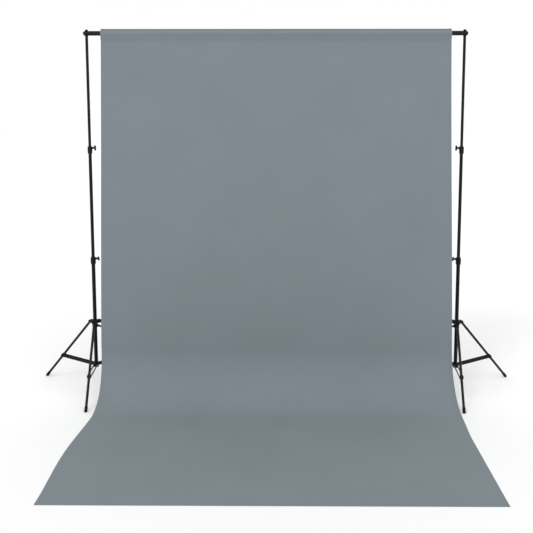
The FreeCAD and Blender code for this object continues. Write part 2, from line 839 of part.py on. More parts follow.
def build_pole(side, hand):
    """The three tubes of a stand with their collars, knobs, glides, spigot and nut."""
    upper, lower = size("upper_collar_height"), size("lower_collar_height")
    overlap = size("tube_overlap")
    top_foot = upper - overlap
    mid_foot = lower - overlap
    tube = make_tube(f"{hand}_top_tube", "top_radius", TOP_TUBE_END - top_foot)
    keep(on_pole(tube, side, top_foot), f"{hand}_top_tube")
    tube = make_tube(f"{hand}_mid_tube", "mid_radius", upper + TUBE_END_IN_COLLAR - mid_foot)
    keep(on_pole(tube, side, mid_foot), f"{hand}_mid_tube")
    base_foot = size("hub_height") - "hub_bottom" + "hub_floor" + "face_gap"
    tube = make_tube(f"{hand}_base_tube", "base_radius", lower + TUBE_END_IN_COLLAR - base_foot)
    keep(on_pole(tube, side, base_foot), f"{hand}_base_tube")

    keep(on_pole(make_spigot(f"{hand}_spigot"), side, TOP_TUBE_END), f"{hand}_spigot")
    nut_foot = size("bar_height") + "bar_radius" + "running_gap"
    keep(on_pole(make_thumb_nut(f"{hand}_thumb_nut"), side, nut_foot), f"{hand}_thumb_nut")
    glide = make_glide(f"{hand}_top_glide", "top_radius", "mid_radius")
    keep(on_pole(glide, side, top_foot), f"{hand}_top_glide")
    glide = make_glide(f"{hand}_mid_glide", "mid_radius", "base_radius")
    keep(on_pole(glide, side, mid_foot), f"{hand}_mid_glide")

    for level, inner, outer, height in (
        ("upper", "top_radius", "mid_radius", upper),
        ("lower", "mid_radius", "base_radius", lower),
    ):
        collar = make_collar(f"{hand}_{level}_collar", inner, outer)
        keep(on_pole(collar, side, height, INWARD), f"{hand}_{level}_collar")
        boss_end = size(outer) + "collar_wall" + "boss_reach"
        knob = make_knob(f"{hand}_{level}_knob", inner, boss_end)
        screw_height = height + "collar_screw_height" - COLLAR_HALF
        roll = side * number(f"{level}_knob_turn")
        keep(on_pole(knob, side, screw_height, INWARD, roll=roll), f"{hand}_{level}_knob")


def build_base(side, hand):
    """The crown, the hub and the three legs of a stand."""
    crown_height, hub_height = size("crown_height"), size("hub_height")
    crown = make_crown(f"{hand}_crown")
    keep(on_pole(crown, side, crown_height, AZIMUTHS["outer"]), f"{hand}_crown")
    span = size("crown_arm_width") + size("face_gap") * 2
    rivets = make_rivets(f"{hand}_crown_rivets", "crown_pivot_reach", span)
    keep(on_pole(rivets, side, crown_height, AZIMUTHS["outer"]), f"{hand}_crown_rivets")
    boss_end = size("base_radius") + "crown_wall" + "boss_reach"
    knob = make_knob(f"{hand}_crown_knob", "base_radius", boss_end)
    screw_height = crown_height - "crown_screw_drop"
    roll = side * number("crown_knob_turn")
    keep(on_pole(knob, side, screw_height, AZIMUTHS["outer"] + 180, roll=roll), f"{hand}_crown_knob")

    hub = make_hub(f"{hand}_hub")
    keep(on_pole(hub, side, hub_height, AZIMUTHS["outer"]), f"{hand}_hub")
    span = size("brace_gap") + size("brace_thickness") * 2 + size("face_gap") * 2
    rivets = make_rivets(f"{hand}_hub_rivets", "hub_pivot_reach", span)
    keep(on_pole(rivets, side, hub_height, AZIMUTHS["outer"]), f"{hand}_hub_rivets")

    for place, azimuth in AZIMUTHS.items():
        for kind, make in (("leg", make_leg), ("foot", make_foot), ("bracket", make_bracket)):
            label = f"{hand}_{place}_{kind}"
            reach = number("crown_pivot_reach")
            piece = on_pole(make(label), side, crown_height, azimuth, tilt=-LEG_SPREAD, reach=reach)
            keep(piece, label)
        label = f"{hand}_{place}_brace"
        reach = number("hub_pivot_reach")
        piece = on_pole(make_brace(label), side, hub_height, azimuth, tilt=-BRACE_TILT, reach=reach)
        keep(piece, label)


for side, hand in ((-1, "left"), (1, "right")):
    build_pole(side, hand)
    build_base(side, hand)

for label, make in (
    ("bar_end_sections", make_bar_ends),
    ("bar_middle_sections", make_bar_middles),
    ("bar_joiners", make_bar_joiners),
):
    keep(at(make(label), 0, POLE_Y, "bar_height"), label)
keep(at(make_backdrop("backdrop"), 0, POLE_Y, 0), "backdrop")

doc.recompute()

# ---------------------------------------------------------------- checks and export

failed = [o.Name for o in doc.Objects if "Invalid" in o.State or "Error" in o.State]
if failed:
    raise RuntimeError(f"objects that failed to recompute: {failed}")
for obj in nodes:
    if obj.Shape.isNull() or not obj.Shape.isValid():
        raise RuntimeError(f"{obj.Label} has no valid shape")
    if obj.Shape.Volume <= 0:
        raise RuntimeError(f"{obj.Label} has no volume")

os.makedirs("parts", exist_ok=True)
for obj in nodes:
    obj.Shape.exportStep(f"parts/{obj.Label}.step")

print(f"{len(nodes)} nodes")
print(f"pole at x {POLE_X:.3f}, y {POLE_Y:.3f}")
print(f"leg {LEG_LENGTH:.3f} at {LEG_SPREAD:.4f} degrees, brace {BRACE_LENGTH:.3f} at {BRACE_TILT:.4f}")
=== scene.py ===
from math import acos, asin, atan2, ceil, cos, pi, radians, sin

import bmesh
import bpy
from mathutils import Euler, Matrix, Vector


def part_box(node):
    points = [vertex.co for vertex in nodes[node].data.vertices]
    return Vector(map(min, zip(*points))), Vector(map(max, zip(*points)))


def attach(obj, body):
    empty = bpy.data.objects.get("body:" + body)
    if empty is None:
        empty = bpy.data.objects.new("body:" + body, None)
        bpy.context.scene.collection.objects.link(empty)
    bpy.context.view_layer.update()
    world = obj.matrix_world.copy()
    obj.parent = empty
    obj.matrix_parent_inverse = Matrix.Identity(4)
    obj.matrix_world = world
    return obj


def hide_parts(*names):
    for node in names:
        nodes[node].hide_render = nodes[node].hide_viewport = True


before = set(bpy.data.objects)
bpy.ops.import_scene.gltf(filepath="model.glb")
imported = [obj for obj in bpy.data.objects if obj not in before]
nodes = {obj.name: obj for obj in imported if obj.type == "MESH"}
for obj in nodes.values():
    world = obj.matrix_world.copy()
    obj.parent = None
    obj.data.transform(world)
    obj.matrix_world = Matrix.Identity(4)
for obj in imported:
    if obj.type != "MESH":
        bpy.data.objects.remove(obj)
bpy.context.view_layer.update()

# A background support system: two black telescopic stands, a sectional crossbar and a grey cloth.
# Metres. +X is to the right seen from the front, +Y to the rear, +Z up.
MM = 0.001
SIDES = ("left", "right")
LEG_PLACES = ("front", "outer", "rear")


# ---------------------------------------------------------------- places, from the frame

bar_low, bar_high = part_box("bar_end_sections")
cloth_low, cloth_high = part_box("backdrop")
BAR_RADIUS = (bar_high.z - bar_low.z) / 2
BAR_Y = (bar_high.y + bar_low.y) / 2
BAR_Z = (bar_high.z + bar_low.z) / 2


# ---------------------------------------------------------------- general helpers

def spread(start, end, step):
    """Evenly spaced values from start up to, but without, end."""
    count = max(1, round(abs(end - start) / step))
    return [start + (end - start) * k / count for k in range(count)]


def smooth(value, low, high):
    """0 below low and 1 above high, with a smooth change between them."""
    share = min(max((value - low) / (high - low), 0), 1)
    return share * share * (3 - 2 * share)


def new_object(name, points, faces, smooth_shading=True):
    """A mesh object from points and faces."""
    mesh = bpy.data.meshes.new(name)
    mesh.from_pydata(points, [], faces)
    mesh.update()
    if smooth_shading:
        mesh.shade_smooth()
    else:
        mesh.shade_flat()
    obj = bpy.data.objects.new(name, mesh)
    bpy.context.scene.collection.objects.link(obj)
    return obj


def remove_points(obj, indices):
    """Delete mesh points that no face uses."""
    work = bmesh.new()
    work.from_mesh(obj.data)
    work.verts.ensure_lookup_table()
    bmesh.ops.delete(work, geom=[work.verts[i] for i in indices], context="VERTS")
    work.to_mesh(obj.data)
    work.free()


# ---------------------------------------------------------------- the cloth's line

CLOTH = 0.8 * MM
# Two layers that lie on each other are this far apart, middle to middle.
LAYER_GAP = 1.0 * MM
HEM = 22 * MM
# A hem's second layer lifts the cloth beside it over this width.
HEM_RAMP = 35 * MM
# The drop comes forward by this angle on its way down.
LEAN = radians(5)
SWEEP_RADIUS = 0.42

# The rod pocket: its seam under the bar's axis, its free edge under the seam, and how it meets the header.
POCKET_DROP = 58 * MM
POCKET_TAIL = 8 * MM
POCKET_FILLET = 3 * MM
POCKET_SLACK = 0.6 * MM

# The distance between points is finest at the folds and widest where the cloth is flat.
FOLD_STEP = 1 * MM
BAR_STEP = 3 * MM
HEADER_STEP = 4 * MM
HEM_STEP = 6 * MM
POCKET_STEP = 7 * MM
SIDE_RAMP_STEP = 9 * MM
FRONT_RAMP_STEP = 12 * MM
SWEEP_STEP = 20 * MM
FLAT_STEP = 25 * MM
# A bend turns by no more than this from one point to the next.
SMALL_BEND = radians(20)
ROUNDING = 1e-9


def direction(angle):
    """A unit vector in the side view, whose first axis points to the rear and second up."""
    return Vector((cos(angle), sin(angle)))


def line(start, end, step):
    """Evenly spaced points from start up to, but without, end."""
    count = max(1, round((end - start).length / step))
    return [start.lerp(end, k / count) for k in range(count)]


def arc(centre, radius, start, turn, step):
    """Points on a circle from the angle start through turn, without the last one."""
    count = max(ceil(abs(turn) / SMALL_BEND), round(abs(turn) * radius / step))
    return [centre + radius * direction(start + turn * k / count) for k in range(count)]


class Profile:
    """The cloth's line in the side view, from the pocket's free edge to the front hem's free edge."""

    def __init__(self):
        bar = Vector((BAR_Y, BAR_Z))
        down = direction(-pi / 2 - LEAN)
        ahead = direction(-pi - LEAN)
        half = LAYER_GAP / 2
        wrap = BAR_RADIUS + POCKET_SLACK + CLOTH / 2
        seam = bar + down * POCKET_DROP
        back_seam = seam - ahead * half
        front_seam = seam + ahead * half

        # Where each layer leaves the bar, as an angle from the line to the seam.
        span = front_seam - bar
        leaves = atan2(half, POCKET_DROP) + acos(wrap / span.length)
        joins = asin((half + POCKET_FILLET) / (wrap + POCKET_FILLET))
        upward = pi / 2
        back_start = -pi / 2 - LEAN + leaves
        front_end = 3 * pi / 2 - LEAN - leaves
        back_fillet = bar + (wrap + POCKET_FILLET) * direction(upward - joins)
        front_fillet = bar + (wrap + POCKET_FILLET) * direction(upward + joins)
        top = Vector((BAR_Y, cloth_high.z - CLOTH / 2 - half))
        header_back = BAR_Y + half
        header_front = BAR_Y - half

        # The drop's last point, and the axis of the sweep.
        axis_z = SWEEP_RADIUS + CLOTH / 2
        drop_end_z = axis_z - SWEEP_RADIUS * sin(LEAN)
        drop_length = (front_seam.y - drop_end_z) / cos(LEAN)
        drop_end = front_seam + down * drop_length
        axis = drop_end + ahead * SWEEP_RADIUS

        # The floor part rises by one layer over its front hem, which is folded under.
        low, high = CLOTH / 2, CLOTH / 2 + LAYER_GAP
        front = cloth_low.y + half + CLOTH / 2
        fold = Vector((front, low + half))
        inner = front + HEM
        ramp_start = inner + HEM_RAMP

        points = line(back_seam + down * POCKET_TAIL, back_seam, HEADER_STEP)
        self.back_seam_row = len(points)
        points += line(back_seam, bar + wrap * direction(back_start), POCKET_STEP)
        points += arc(bar, wrap, back_start, upward - joins - back_start, BAR_STEP)
        points += arc(back_fillet, POCKET_FILLET, 3 * pi / 2 - joins, joins - pi / 2, FOLD_STEP)
        self.header_start_row = len(points)
        points += line(Vector((header_back, back_fillet.y)), Vector((header_back, top.y)), HEADER_STEP)
        points += arc(top, half, 0, pi, FOLD_STEP)
        points += line(Vector((header_front, top.y)), Vector((header_front, front_fillet.y)), HEADER_STEP)
        self.header_end_row = len(points)
        points += arc(front_fillet, POCKET_FILLET, 2 * pi, joins - pi / 2, FOLD_STEP)
        points += arc(bar, wrap, upward + joins, front_end - upward - joins, BAR_STEP)
        points += line(bar + wrap * direction(front_end), front_seam, POCKET_STEP)
        self.front_seam_row = len(points)
        points += line(front_seam, drop_end, FLAT_STEP)
        self.sweep_row = len(points)
        points += arc(axis, SWEEP_RADIUS, -LEAN, LEAN - pi / 2, SWEEP_STEP)
        self.floor_row = len(points)
        points += line(Vector((axis.x, low)), Vector((ramp_start, low)), FLAT_STEP)
        points += line(Vector((ramp_start, low)), Vector((inner, high)), FRONT_RAMP_STEP)
        points += line(Vector((inner, high)), Vector((front, high)), HEM_STEP)
        self.fold_row = len(points)
        points += arc(fold, half, pi / 2, pi, FOLD_STEP)
        points += line(Vector((front, low)), Vector((inner, low)), HEM_STEP)
        points.append(Vector((inner, low)))
        self.points = points

        self.along = [0.0]
        for before, after in zip(points, points[1:]):
            self.along.append(self.along[-1] + (after - before).length)
        self.length = self.along[-1]

        self.outward = []
        last = len(points) - 1
        for k in range(len(points)):
            run = points[min(k + 1, last)] - points[max(k - 1, 0)]
            self.outward.append(Vector((run.y, -run.x)).normalized())

    def place(self, along):
        """The point and the outward direction at a length along the line."""
        k = next(i for i, value in enumerate(self.along[1:]) if value >= along - ROUNDING)
        share = (along - self.along[k]) / (self.along[k + 1] - self.along[k])
        point = self.points[k].lerp(self.points[k + 1], share)
        return point, self.outward[k].lerp(self.outward[k + 1], share).normalized()


# ---------------------------------------------------------------- the cloth's surface

# Shallow folds across the cloth: share of the height, radians per metre, phase and how much it drifts.
FOLDS = ((0.5, 5.2, 0.0, 1), (0.3, 9.1, 1.7, -2), (0.2, 14.3, -0.6, 0))
# The folds drift sideways along the cloth: by how much, in radians, and with which pitch and phase.
DRIFT = 0.25
DRIFT_PITCH = 1.1
DRIFT_PHASE = 0.4
FOLD_HEIGHT = 3.5 * MM
RIPPLE_HEIGHT = 2.2 * MM
# The folds grow over this length from the seam, and die out from this far above the sweep.
FOLD_GROWTH = 0.9
FOLD_END = 0.3
# The ripples on the floor fade from the first to the second of these lengths behind the front edge.
RIPPLE_FADE = 0.35
RIPPLE_END = 0.05
# Folds and ripples fade from this far inside the side edges to the hems.
CALM_EDGE = 0.22

# The left edge is inset at the top, and bows in and out from this far above the sweep to the front.
LEFT_INSET = 9 * MM
LEFT_BOW = 24 * MM
BOW_LEAD = 0.1
# The right edge drifts out down the drop, and comes back from before to after the start of the floor part.
RIGHT_DRIFT = 19 * MM
RETURN_LEAD = 0.1
RETURN_END = 0.35

# The side hem's fold turns by this from one point to the next.
SIDE_FOLD_BEND = SMALL_BEND * 1.5
# The corner of the front hem's second layer is cut away, with this much to spare beside the side hem.
CORNER_SPARE = 2 * MM


def hem_lift(x):
    """How far the side hem's under layer lifts the cloth off its line."""
    inner = cloth_high.x - HEM
    return LAYER_GAP * smooth(abs(x), inner - HEM_RAMP, inner)


def cloth_columns():
    """(x, lift, cut) of each column: lift is how far it stands off the line, cut its place in the cut."""
    edge = cloth_high.x - CLOTH / 2 - LAYER_GAP / 2
    half = LAYER_GAP / 2
    inner = cloth_high.x - HEM
    places = spread(0, inner - HEM_RAMP, FLAT_STEP)
    places += spread(inner - HEM_RAMP, inner, SIDE_RAMP_STEP)
    places += spread(inner, edge, HEM_STEP)
    side = [(x, hem_lift(x)) for x in places]
    side += [(edge + half * sin(a), half + half * cos(a)) for a in spread(0, pi, SIDE_FOLD_BEND)]
    side += [(x, 0) for x in spread(edge, inner, HEM_STEP)]
    side.append((inner, 0))
    cut = [0.0]
    for before, after in zip(side, side[1:]):
        cut.append(cut[-1] + (Vector(after) - Vector(before)).length)
    right = [(x, lift, place) for (x, lift), place in zip(side, cut)]
    left = [(-x, lift, -place) for x, lift, place in reversed(right[1:])]
    return left + right


def wave(x, along, profile):
    """How far the cloth stands off its line: broad, very shallow folds, and ripples on the floor."""
    begin, sweep = profile.along[profile.front_seam_row], profile.along[profile.sweep_row]
    floor, end = profile.along[profile.floor_row], profile.along[profile.fold_row]
    drift = DRIFT * sin(DRIFT_PITCH * along + DRIFT_PHASE)
    folds = sum(share * sin(pitch * x + phase + bend * drift) for share, pitch, phase, bend in FOLDS)
    rise = smooth(along, begin, begin + FOLD_GROWTH)
    flat = smooth(along, sweep - FOLD_END, floor)
    near_front = 1 - smooth(along, end - RIPPLE_FADE, end - RIPPLE_END)
    hanging = FOLD_HEIGHT * rise * folds
    lying = RIPPLE_HEIGHT * (0.5 + 0.5 * folds) ** 2 * near_front
    return hanging * (1 - flat) + lying * flat


def edge_drift(x, along, profile):
    """How far the cloth's two edges wander from straight lines, in X.

    The left one lies a little inside at the top, bows in at the sweep and then out on the floor. The right
    one drifts out down the drop and comes back on the floor.
    """
    seam, sweep = profile.along[profile.front_seam_row], profile.along[profile.sweep_row]
    floor, end = profile.along[profile.floor_row], profile.along[profile.fold_row]
    drop = smooth(along, seam, sweep)
    share = min(max((along - sweep + BOW_LEAD) / (end - sweep + BOW_LEAD), 0), 1)
    returned = smooth(along, floor - RETURN_LEAD, floor + RETURN_END)
    left = LEFT_INSET * (1 - drop) + LEFT_BOW * sin(2 * pi * share) * sin(pi * share)
    right = RIGHT_DRIFT * drop * (1 - returned)
    return left * smooth(-x, 0, cloth_high.x) + right * smooth(x, 0, cloth_high.x)


def sheet_point(profile, x, lift, along, point, outward):
    """A point of the cloth's middle surface, from a point of its line and the outward direction there."""
    near_edge = 1 - smooth(abs(x), cloth_high.x - CALM_EDGE, cloth_high.x - HEM)
    stand = lift + wave(x, along, profile) * near_edge
    spot = point + outward * stand
    return Vector((x + edge_drift(x, along, profile), spot.x, spot.y))


def make_cloth(profile):
    """The sheet with its rod pocket and its folded hems, one layer thick until it is thickened."""
    columns = cloth_columns()
    across = len(columns)
    points = []
    cuts = []
    for row, (point, along) in enumerate(zip(profile.points, profile.along)):
        # The front hem's second layer lies under the first, and a side hem lifts both straight up.
        outward = profile.outward[row] if row < profile.fold_row else Vector((0, 1))
        for x, lift, cut in columns:
            points.append(sheet_point(profile, x, lift, along, point, outward))
            cuts.append((cut, along))
    faces = []
    notch = cloth_high.x - HEM - CORNER_SPARE
    for row in range(len(profile.points) - 1):
        for k in range(across - 1):
            in_corner = max(abs(columns[k][0]), abs(columns[k + 1][0])) > notch
            if row >= profile.fold_row and in_corner:
                continue
            first = row * across + k
            faces.append((first, first + across, first + across + 1, first + 1))
    cloth = new_object("backdrop_cloth", points, faces)
    layer = cloth.data.uv_layers.new(name="cut")
    for loop in cloth.data.loops:
        layer.data[loop.index].uv = cuts[loop.vertex_index]
    used = {i for face in faces for i in face}
    remove_points(cloth, [i for i in range(len(points)) if i not in used])
    thick = cloth.modifiers.new("thickness", "SOLIDIFY")
    thick.thickness = CLOTH
    thick.offset = 0
    thick.use_quality_normals = True
    return cloth


# ---------------------------------------------------------------- stitching

STITCH_PITCH = 5 * MM
STITCH_LENGTH = 3.6 * MM
THREAD_RADIUS = 0.3 * MM
# A stitch has its full height between two places, at this share of its half length each way.
STITCH_SHOULDER = 0.55
# Hem stitches are this far in from the cloth's edge, and each row ends this far from it.
STITCH_IN = 18 * MM
ROW_END = 4 * MM
# The pocket's two rows are this far below its seam.
SEAM_OFFSET = 0.5 * MM
# The last stretch of this length above the floor part is too near the floor for thread under it.
LYING_LEAD = 0.12


def add_stitch(points, faces, place, along, outward):
    """One stitch: a four-sided bead of thread that dips into the cloth at both ends."""
    across = along.cross(outward).normalized() * THREAD_RADIUS
    up = outward * THREAD_RADIUS
    half = along * STITCH_LENGTH / 2
    start = len(points)
    near = start + 1
    far = near + 4
    end = far + 4
    points.append(place - half - up)
    for share in (-STITCH_SHOULDER, STITCH_SHOULDER):
        centre = place + half * share
        points += [centre + up, centre + across, centre - up, centre - across]
    points.append(place + half - up)
    for k in range(4):
        n = (k + 1) % 4
        faces.append((start, near + n, near + k))
        faces.append((near + k, near + n, far + n, far + k))
        faces.append((end, far + k, far + n))


def make_stitching(profile):
    """Every seam's running stitches: along the pocket, the header and the three hems."""
    points, faces = [], []
    over = CLOTH / 2
    under = -CLOTH / 2 - LAYER_GAP

    def surface(x, lift, along):
        """A point of the middle surface, and the outward direction there."""
        point, outward = profile.place(along)
        return sheet_point(profile, x, lift, along, point, outward), Vector((0, outward.x, outward.y))

    def add_row(along, limit):
        """Stitches across the cloth, from -limit to limit."""
        for x in spread(-limit, limit, STITCH_PITCH):
            spot, normal = surface(x, hem_lift(x), along)
            add_stitch(points, faces, spot + normal * over, Vector((1, 0, 0)), normal)

    # The pocket's seam and the header's go through both layers.
    seam_limit = cloth_high.x - ROW_END
    add_row(profile.along[profile.back_seam_row] - SEAM_OFFSET, seam_limit)
    add_row(profile.along[profile.front_seam_row] + SEAM_OFFSET, seam_limit)
    add_row(profile.along[profile.header_start_row], seam_limit)
    add_row(profile.along[profile.header_end_row - 1], seam_limit)
    add_row(profile.along[profile.fold_row] - STITCH_IN, cloth_high.x - HEM)

    # The side hems run from the pocket to the front, and show under the cloth only where it hangs.
    hem_x = cloth_high.x - STITCH_IN
    lying = profile.along[profile.floor_row] - LYING_LEAD
    for x in (-hem_x, hem_x):
        for along in spread(ROW_END, profile.along[profile.fold_row] - ROW_END, STITCH_PITCH):
            here, normal = surface(x, LAYER_GAP, along)
            there, _ = surface(x, LAYER_GAP, along + MM)
            run = (there - here).normalized()
            add_stitch(points, faces, here + normal * over, run, normal)
            if along < lying:
                add_stitch(points, faces, here + normal * under, run, -normal)
    return new_object("backdrop_stitching", points, faces)


# ---------------------------------------------------------------- material nodes

def start_material(name, specular):
    """A material, its tree and its shader."""
    material = bpy.data.materials.new(name)
    material.use_nodes = True
    tree = material.node_tree
    shader = tree.nodes["Principled BSDF"]
    shader.inputs["Specular IOR Level"].default_value = specular
    return material, tree, shader


def feed(tree, socket, value):
    """Give an input a value, or link it to the output that feeds it."""
    if isinstance(value, bpy.types.NodeSocket):
        tree.links.new(value, socket)
    else:
        socket.default_value = value


def feed_shader(tree, shader, colour, roughness, normal):
    """Give a shader its colour, roughness and normal."""
    feed(tree, shader.inputs["Base Color"], colour)
    feed(tree, shader.inputs["Roughness"], roughness)
    feed(tree, shader.inputs["Normal"], normal)


def calculate(tree, operation, *values):
    """A math node's output."""
    made = tree.nodes.new("ShaderNodeMath")
    made.operation = operation
    for socket, value in zip(made.inputs, values):
        feed(tree, socket, value)
    return made.outputs[0]


def noise(tree, place, scale, detail=2.0, roughness=0.5):
    """A noise texture's value, where scale is in features per metre."""
    made = tree.nodes.new("ShaderNodeTexNoise")
    tree.links.new(place, made.inputs["Vector"])
    made.inputs["Scale"].default_value = scale
    made.inputs["Detail"].default_value = detail
    made.inputs["Roughness"].default_value = roughness
    return made.outputs[0]


def stretched(tree, place, x, y, z):
    """Coordinates multiplied along each axis."""
    made = tree.nodes.new("ShaderNodeMapping")
    tree.links.new(place, made.inputs["Vector"])
    made.inputs["Scale"].default_value = (x, y, z)
    return made.outputs[0]


def ramp(tree, value, stops):
    """Colours by value, from (place, colour) stops."""
    made = tree.nodes.new("ShaderNodeValToRGB")
    tree.links.new(value, made.inputs["Fac"])
    elements = made.color_ramp.elements
    while len(elements) < len(stops):
        elements.new(0.5)
    for element, (place, colour) in zip(elements, stops):
        element.position = place
        element.color = (*colour, 1)
    return made.outputs["Color"]


def spread_value(tree, value, low, high):
    """A value from 0.25 to 0.75 spread over low to high."""
    made = tree.nodes.new("ShaderNodeMapRange")
    tree.links.new(value, made.inputs["Value"])
    made.inputs["From Min"].default_value = 0.25
    made.inputs["From Max"].default_value = 0.75
    made.inputs["To Min"].default_value = low
    made.inputs["To Max"].default_value = high
    return made.outputs["Result"]


def bump(tree, height, distance, strength):
    """A bump's normal, where distance is the relief in metres."""
    made = tree.nodes.new("ShaderNodeBump")
    tree.links.new(height, made.inputs["Height"])
    made.inputs["Distance"].default_value = distance
    made.inputs["Strength"].default_value = strength
    return made.outputs["Normal"]


def object_place(tree):
    """The point on the object, in metres."""
    return tree.nodes.new("ShaderNodeTexCoord").outputs["Object"]


def two_tone(colour, change):
    """Two ramp stops about a colour."""
    dark = tuple(c * (1 - change) for c in colour)
    light = tuple(c * (1 + change) for c in colour)
    return [(0.3, dark), (0.7, light)]


def worn_edges(tree, place):
    """0 away from edges and up to 1 along them, in patches."""
    rounded = tree.nodes.new("ShaderNodeBevel")
    rounded.samples = 4
    rounded.inputs["Radius"].default_value = 0.8 * MM
    compare = tree.nodes.new("ShaderNodeVectorMath")
    compare.operation = "DOT_PRODUCT"
    tree.links.new(rounded.outputs["Normal"], compare.inputs[0])
    tree.links.new(tree.nodes.new("ShaderNodeNewGeometry").outputs["Normal"], compare.inputs[1])
    edge = calculate(tree, "SUBTRACT", 1.0, compare.outputs["Value"])
    patches = spread_value(tree, noise(tree, place, 110, 4, 0.6), 0.5, 4.0)
    worn = calculate(tree, "MULTIPLY", edge, patches)
    worn.node.use_clamp = True
    return worn


def rubbed(tree, colour, paler, worn):
    """A colour that turns paler where worn is high."""
    mix = tree.nodes.new("ShaderNodeMix")
    mix.data_type = "RGBA"
    feed(tree, mix.inputs["Factor"], worn)
    feed(tree, mix.inputs["A"], colour)
    mix.inputs["B"].default_value = (*paler, 1)
    return mix.outputs["Result"]


# ---------------------------------------------------------------- materials

CLOTH_GREY = (0.190, 0.221, 0.240)
THREAD_SHADE = 0.72
YARN = 0.8 * MM
BLACK_ENAMEL = (0.0042, 0.0042, 0.0047)
CASTING_BLACK = (0.0050, 0.0050, 0.0055)
CASTING_RUBBED = (0.035, 0.035, 0.036)
KNOB_BLACK = (0.0048, 0.0048, 0.0052)
KNOB_RUBBED = (0.028, 0.028, 0.029)
RUBBER_BLACK = (0.0070, 0.0070, 0.0070)
RUBBER_DULL = (0.0095, 0.0095, 0.0092)
RUBBER_DUST = (0.028, 0.027, 0.026)
STEEL_BLACK = (0.0055, 0.0055, 0.0060)
STEEL_DULL = (0.0075, 0.0075, 0.0080)
STRIP_DARK = (0.0040, 0.0040, 0.0045)
STRIP_BLACK = (0.0050, 0.0050, 0.0056)
WORN_GREY = (0.04, 0.04, 0.042)
NYLON_GREY = (0.03, 0.03, 0.031)


def tube_paint():
    """Satin black enamel on drawn aluminium tube, with faint draw lines along it and a fine orange peel."""
    material, tree, shader = start_material("tube_paint", specular=0.2)
    place = object_place(tree)
    lines = noise(tree, stretched(tree, place, 1, 1, 0.02), 900, 2)
    cloudy = noise(tree, place, 14, 3)
    peel = noise(tree, place, 700, 2)
    satin = spread_value(tree, cloudy, 0.24, 0.34)
    feed_shader(
        tree, shader,
        colour=ramp(tree, cloudy, two_tone(BLACK_ENAMEL, 0.25)),
        roughness=calculate(tree, "ADD", satin, spread_value(tree, lines, -0.03, 0.03)),
        normal=bump(tree, peel, 0.03 * MM, 0.5))
    return material


def casting():
    """Black moulded plastic with a fine spark-eroded texture, rubbed paler along its edges."""
    material, tree, shader = start_material("casting", specular=0.2)
    place = object_place(tree)
    grain = noise(tree, place, 1600, 3, 0.6)
    cloudy = noise(tree, place, 45, 3)
    colour = ramp(tree, cloudy, two_tone(CASTING_BLACK, 0.35))
    feed_shader(
        tree, shader,
        colour=rubbed(tree, colour, CASTING_RUBBED, worn_edges(tree, place)),
        roughness=spread_value(tree, cloudy, 0.5, 0.64),
        normal=bump(tree, grain, 0.12 * MM, 0.6))
    return material


def knob_plastic():
    """Smoother black plastic, polished a little where fingers turn it."""
    material, tree, shader = start_material("knob_plastic", specular=0.25)
    place = object_place(tree)
    handled = noise(tree, place, 60, 2)
    grain = noise(tree, place, 2200, 2)
    colour = ramp(tree, handled, two_tone(KNOB_BLACK, 0.25))
    feed_shader(
        tree, shader,
        colour=rubbed(tree, colour, KNOB_RUBBED, worn_edges(tree, place)),
        roughness=spread_value(tree, handled, 0.3, 0.46),
        normal=bump(tree, grain, 0.06 * MM, 0.5))
    return material


def rubber():
    """Black rubber with dust in its pores."""
    material, tree, shader = start_material("rubber", specular=0.15)
    place = object_place(tree)
    dust = noise(tree, place, 120, 5, 0.65)
    pores = noise(tree, place, 1300, 4, 0.7)
    feed_shader(
        tree, shader,
        colour=ramp(tree, dust, [(0.35, RUBBER_BLACK), (0.62, RUBBER_DULL), (0.8, RUBBER_DUST)]),
        roughness=spread_value(tree, dust, 0.72, 0.92),
        normal=bump(tree, pores, 0.2 * MM, 0.6))
    return material


def black_steel():
    """Blackened steel, turned, and rubbed a little paler where it is handled."""
    material, tree, shader = start_material("black_steel", specular=0.3)
    place = object_place(tree)
    handled = noise(tree, place, 300, 5, 0.65)
    turned = noise(tree, stretched(tree, place, 1, 1, 8), 900, 1)
    feed_shader(
        tree, shader,
        colour=ramp(tree, handled, [(0.3, STEEL_BLACK), (0.66, STEEL_DULL), (0.76, WORN_GREY)]),
        roughness=spread_value(tree, handled, 0.3, 0.46),
        normal=bump(tree, turned, 0.05 * MM, 0.4))
    return material


def glide_nylon():
    """Dark grey nylon of the bushes and sleeves inside the tubes."""
    material, tree, shader = start_material("glide_nylon", specular=0.4)
    place = object_place(tree)
    cloudy = noise(tree, place, 90, 3)
    scuffs = noise(tree, stretched(tree, place, 1, 1, 0.05), 1200, 2)
    feed_shader(
        tree, shader,
        colour=ramp(tree, cloudy, two_tone(NYLON_GREY, 0.2)),
        roughness=spread_value(tree, scuffs, 0.36, 0.6),
        normal=bump(tree, scuffs, 0.05 * MM, 0.5))
    return material


def strip_paint():
    """Black painted strip, rolled flat, with small chips that show a paler undercoat."""
    material, tree, shader = start_material("strip_paint", specular=0.14)
    place = object_place(tree)
    cloudy = noise(tree, place, 25, 3)
    chips = noise(tree, place, 260, 6, 0.7)
    rolled = noise(tree, stretched(tree, place, 0.1, 0.1, 1), 1500, 1)
    feed_shader(
        tree, shader,
        colour=ramp(tree, chips, [(0.0, STRIP_DARK), (0.74, STRIP_BLACK), (0.78, WORN_GREY)]),
        roughness=spread_value(tree, cloudy, 0.3, 0.42),
        normal=bump(tree, rolled, 0.03 * MM, 0.4))
    return material


